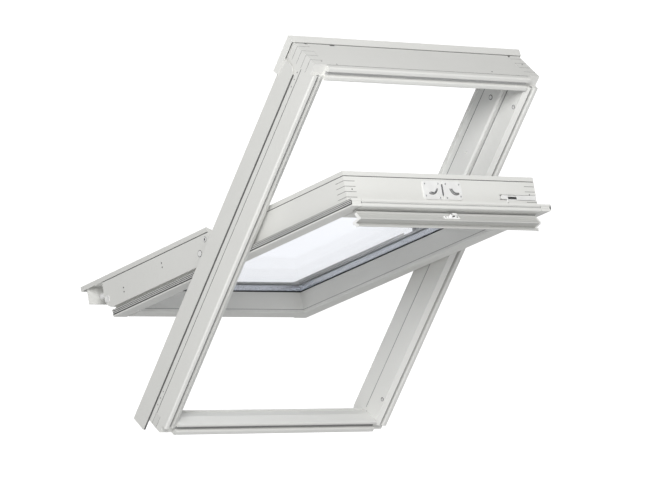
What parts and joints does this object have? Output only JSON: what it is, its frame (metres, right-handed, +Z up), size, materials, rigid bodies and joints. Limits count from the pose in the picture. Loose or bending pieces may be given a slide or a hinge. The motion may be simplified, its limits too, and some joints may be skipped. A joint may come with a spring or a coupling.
{
  "type": "roof window",
  "caption": "Centre-pivot roof window: white timber frame and double-glazed sash with aluminium cladding, control bar, lock and cleaning bolt.",
  "frame": {"origin": "middle of the sill's outer face, at the room side of the frame timber", "axes": "+X to the right as seen from the room, +Y away from the room, +Z up; the window leans back to a roof pitch of 55 degrees"},
  "size_m": [0.803, 1.2061, 1.0516],
  "materials": {
    "timber": "white painted pine",
    "cladding": "off-white lacquer",
    "steel": "zinc plated",
    "rubber": "matt",
    "plastic": "white",
    "spacer": "mill",
    "glass": "clear, lightly coated"
  },
  "bodies": {
    "frame": {"head": "timber", "sill": "timber", "jamb_left": "timber", "jamb_right": "timber", "stop_bead_left": "timber", "stop_bead_right": "timber", "bead_gasket_left": "rubber", "bead_gasket_right": "rubber", "bead_screws": "steel", "head_cover": "cladding", "side_cover_left": "cladding", "side_cover_right": "cladding", "upper_cover_left": "cladding", "upper_cover_right": "cladding", "sill_cover": "cladding", "hinge_bracket_left": "steel", "hinge_bracket_right": "steel", "pivot_pins": "steel", "friction_bushes": "plastic", "bracket_screws": "steel", "bolt_bushes": "plastic", "lock_keeper": "steel", "keeper_screws": "steel"},
    "sash": {"sash_top_rail": "timber", "sash_bottom_rail": "timber", "sash_stile_left": "timber", "sash_stile_right": "timber", "side_strip_left": "timber", "side_strip_right": "timber", "strip_screws": "steel", "strip_bushes": "plastic", "sash_seal_left": "rubber", "sash_seal_right": "rubber", "glass_inner": "glass", "glass_outer": "glass", "spacer": "spacer", "glazing_gasket_inner": "rubber", "glazing_gasket_outer": "rubber", "clad_upper_left": "cladding", "clad_upper_right": "cladding", "clad_top": "cladding", "clad_lower_left": "cladding", "clad_lower_right": "cladding", "clad_bottom": "cladding", "hinge_arm_left": "steel", "hinge_arm_right": "steel", "arm_screws": "steel", "foot_buffers": "plastic", "lock_case": "plastic", "bolt_guides": "steel", "bar_hinge_strip": "cladding"},
    "control_bar": {"control_bar": "cladding", "bar_end_caps": "plastic", "bar_catch": "plastic"},
    "lock_tongue": {"lock_tongue": "steel"},
    "barrel_bolt": {"barrel_bolt": "steel"}
  },
  "joints": [
    {"name": "sash_pivot", "type": "hinge", "parent": "frame", "child": "sash", "pos_m": [0, -0.22315, 0.56278], "axis": [1, 0, 0], "range_deg": [-40.1, 117]},
    {"name": "control_bar_tilt", "type": "hinge", "parent": "sash", "child": "control_bar", "pos_m": [0, -0.74635, 0.57989], "axis": [1, 0, 0], "range_deg": [-22, 8]},
    {"name": "lock_tongue_slide", "type": "slide", "parent": "sash", "child": "lock_tongue", "axis": [0, -0.9664, 0.2571], "range_m": [-0.00654, 0.018]},
    {"name": "barrel_bolt_slide", "type": "slide", "parent": "sash", "child": "barrel_bolt", "axis": [1, 0, 0], "range_m": [0, 0.028]}
  ],
  "couplings": [
    {"joint": "lock_tongue_slide", "follows": "control_bar_tilt", "m_per_rad": -0.046878}
  ]
}
